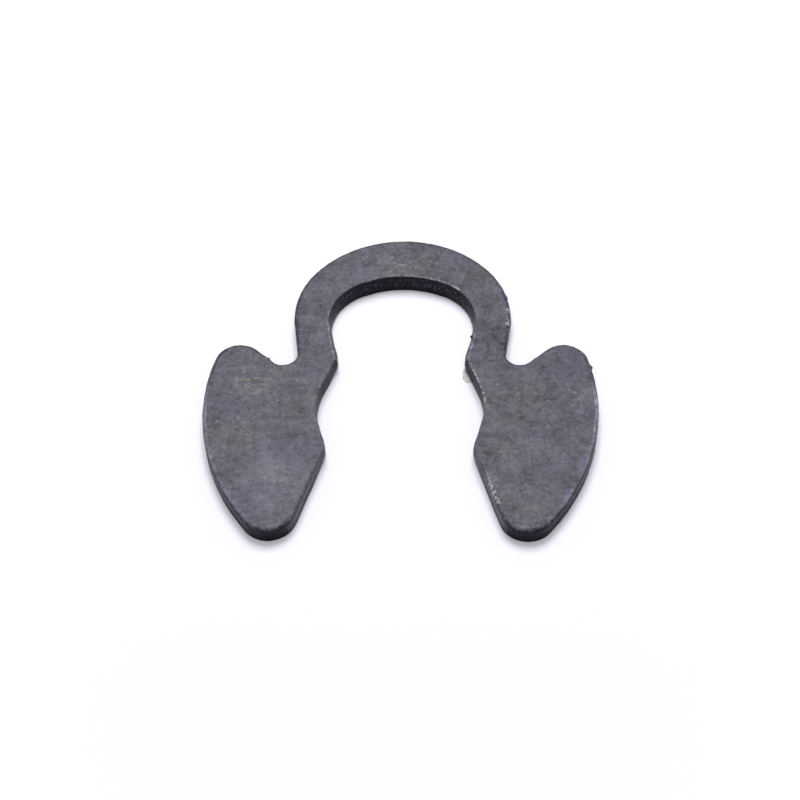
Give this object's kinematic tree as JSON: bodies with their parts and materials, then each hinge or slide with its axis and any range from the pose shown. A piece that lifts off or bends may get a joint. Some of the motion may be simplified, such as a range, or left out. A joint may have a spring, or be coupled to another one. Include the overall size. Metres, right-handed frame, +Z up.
{
  "type": "retaining clip",
  "caption": "Open-bow radial retaining clip in dark phosphated spring steel, pushed sideways on to a grooved shaft and held by two jaws.",
  "frame": {"origin": "axis of the shaft groove that the two jaws grip, at the underside of the strip", "axes": "+Z up through the strip, along the shaft; +Y towards the crown of the bow; -Y towards the mouth that the shaft goes in by; +X to the right seen from above"},
  "size_m": [0.019, 0.0189, 0.0009],
  "materials": {
    "phosphated_steel": "dull dark grey phosphate and oil over spring steel, mottled, worn bright in specks along the edges"
  },
  "bodies": {
    "root": {"clip": "phosphated_steel"}
  },
  "joints": []
}
